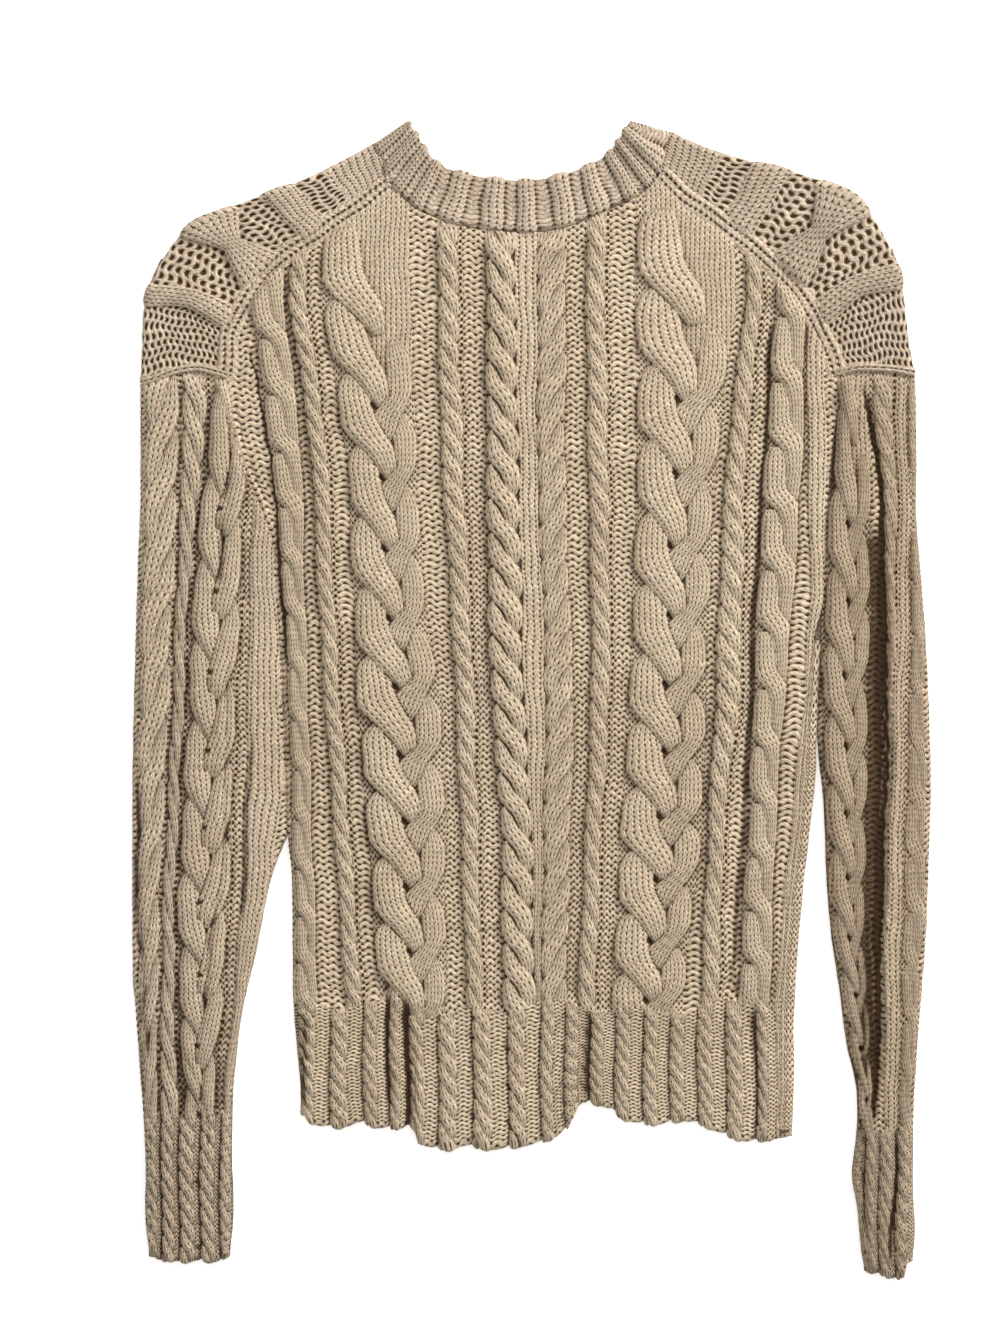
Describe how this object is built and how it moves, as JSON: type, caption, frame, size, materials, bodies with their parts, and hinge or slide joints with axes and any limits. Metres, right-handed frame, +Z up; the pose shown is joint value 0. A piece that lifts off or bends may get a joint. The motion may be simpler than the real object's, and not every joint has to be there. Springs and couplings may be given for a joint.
{
  "type": "cable knit sweater",
  "caption": "Long-sleeved crew neck sweater in cream cable knit, laid flat with its back up, with ribbed neckband, cuffs and hem.",
  "frame": {"origin": "centre of the garment's footprint, on the surface that it lies on", "axes": "+Y from the hem to the neck, +X to the right as seen from above, +Z up from the surface"},
  "size_m": [0.4938, 0.7158, 0.0122],
  "materials": {
    "body_knit": "matt heavy cotton yarn in raised cables on a purl ground",
    "yoke_knit": "matt heavy cotton yarn, stretched open over the shoulders",
    "sleeve_knit": "matt heavy cotton yarn in raised cables",
    "rib_knit": "matt heavy cotton yarn in rib"
  },
  "bodies": {
    "root": {"back": "body_knit", "front": "yoke_knit", "sleeve_left": "sleeve_knit", "sleeve_right": "sleeve_knit", "neckband": "rib_knit"}
  },
  "joints": []
}
